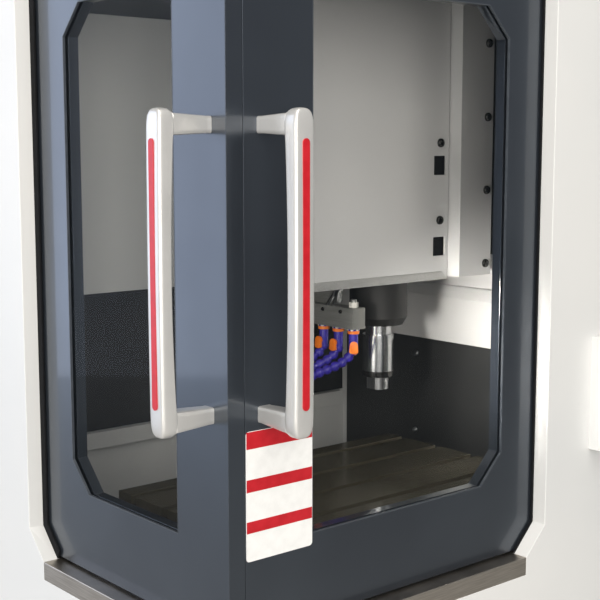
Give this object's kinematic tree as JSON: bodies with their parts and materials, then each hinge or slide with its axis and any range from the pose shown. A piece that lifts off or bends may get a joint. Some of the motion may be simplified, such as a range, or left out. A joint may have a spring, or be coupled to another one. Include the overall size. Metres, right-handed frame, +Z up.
{
  "type": "cnc engraving machine",
  "caption": "Enclosed engraving machine: white cabinet with sliding corner doors, a slotted table, and a spindle head that moves on a cast bridge behind them.",
  "frame": {"origin": "on the floor under the middle of the machine's box, pulls included", "axes": "+X to the right along the front door, +Y to the rear along the left door, +Z up"},
  "size_m": [1.106, 1.046, 1.9],
  "materials": {
    "white_paint": "satin",
    "cast_grey": "painted",
    "black_paint": "satin",
    "steel": "ground",
    "table_iron": "machined",
    "manifold_aluminium": "milled",
    "hose_violet": "satin",
    "valve_orange": "satin",
    "door_paint": "gloss",
    "window_glass": "clear",
    "pull_aluminium": "satin",
    "strip_red": "gloss",
    "screen_black": "gloss",
    "stop_red": "gloss"
  },
  "bodies": {
    "machine": {"bed": "cast_grey", "levelling_feet": "black_paint", "bridge": "cast_grey", "left_panel": "white_paint", "front_panel": "white_paint", "right_panel": "white_paint", "rear_panel": "white_paint", "roof_panel": "white_paint", "sill": "steel", "door_tracks": "steel", "rear_splash": "white_paint", "rear_curtain": "black_paint", "side_liner": "white_paint", "side_guard": "black_paint", "side_shield": "black_paint", "beam_guard": "white_paint", "chip_tray": "white_paint", "y_rails": "steel", "x_rails": "steel", "screw_supports": "cast_grey", "axis_motors": "black_paint", "console": "white_paint", "screen": "screen_black"},
    "stop_plunger": {"stop_button": "stop_red"},
    "table": {"table_saddle": "cast_grey", "work_table": "table_iron", "y_blocks": "steel", "y_nut": "steel"},
    "table_screw": {"y_screw": "steel"},
    "cross_slide": {"x_saddle": "cast_grey", "x_blocks": "steel", "x_nut": "steel", "z_rails": "steel", "z_supports": "cast_grey", "z_motor": "black_paint", "side_shroud": "white_paint"},
    "cross_screw": {"x_screw": "steel"},
    "head": {"z_slide": "cast_grey", "z_blocks": "steel", "z_nut": "steel", "spindle_housing": "black_paint", "head_cover": "white_paint", "coolant_manifold": "manifold_aluminium", "coolant_hose_1": "hose_violet", "coolant_hose_2": "hose_violet", "coolant_hose_3": "hose_violet"},
    "head_screw": {"z_screw": "steel"},
    "lever_1": {"hose_valve_1": "valve_orange"},
    "lever_2": {"hose_valve_2": "valve_orange"},
    "lever_3": {"hose_valve_3": "valve_orange"},
    "rotor": {"spindle_nose": "steel", "collet_nut": "steel"},
    "left_leaf": {"left_door": "door_paint", "left_glass": "window_glass", "left_pull": "pull_aluminium", "left_strip": "strip_red"},
    "front_leaf": {"front_door": "door_paint", "front_glass": "window_glass", "front_pull": "pull_aluminium", "front_strip": "strip_red"}
  },
  "joints": [
    {"name": "left_door_slide", "type": "slide", "parent": "machine", "child": "left_leaf", "axis": [0, 1, 0], "range_m": [0, 0.35]},
    {"name": "front_door_slide", "type": "slide", "parent": "machine", "child": "front_leaf", "axis": [1, 0, 0], "range_m": [0, 0.44]},
    {"name": "table_y", "type": "slide", "parent": "machine", "child": "table", "axis": [0, 1, 0], "range_m": [-0.045, 0.2]},
    {"name": "table_screw_turn", "type": "hinge", "parent": "machine", "child": "table_screw", "pos_m": [-0.12, -0.123, 0.856], "axis": [0, 1, 0], "continuous": true},
    {"name": "cross_x", "type": "slide", "parent": "machine", "child": "cross_slide", "axis": [1, 0, 0], "range_m": [-0.26, 0.03]},
    {"name": "cross_screw_turn", "type": "hinge", "parent": "machine", "child": "cross_screw", "pos_m": [-0.083, 0.067, 1.71], "axis": [1, 0, 0], "continuous": true},
    {"name": "head_z", "type": "slide", "parent": "cross_slide", "child": "head", "axis": [0, 0, 1], "range_m": [-0.085, 0.1]},
    {"name": "head_screw_turn", "type": "hinge", "parent": "cross_slide", "child": "head_screw", "pos_m": [-0.009, 0.002, 1.5], "axis": [0, 0, 1], "continuous": true},
    {"name": "spindle_spin", "type": "hinge", "parent": "head", "child": "rotor", "pos_m": [0.056, -0.123, 1.1], "axis": [0, 0, 1], "continuous": true},
    {"name": "stop_press", "type": "slide", "parent": "machine", "child": "stop_plunger", "axis": [0, 1, 0], "range_m": [0, 0.004], "stiffness_N_per_m": 1500},
    {"name": "lever_turn_1", "type": "hinge", "parent": "head", "child": "lever_1", "pos_m": [-0.038, -0.168, 1.132], "axis": [0.6428, 0.766, 0], "range_deg": [0, 90]},
    {"name": "lever_turn_2", "type": "hinge", "parent": "head", "child": "lever_2", "pos_m": [-0.038, -0.135, 1.132], "axis": [1, 0, 0], "range_deg": [0, 90]},
    {"name": "lever_turn_3", "type": "hinge", "parent": "head", "child": "lever_3", "pos_m": [-0.038, -0.102, 1.132], "axis": [1, 0, 0], "range_deg": [0, 90]}
  ],
  "couplings": [
    {"joint": "table_screw_turn", "follows": "table_y", "rad_per_m": 628.32},
    {"joint": "cross_screw_turn", "follows": "cross_x", "rad_per_m": 628.32},
    {"joint": "head_screw_turn", "follows": "head_z", "rad_per_m": 628.32}
  ]
}
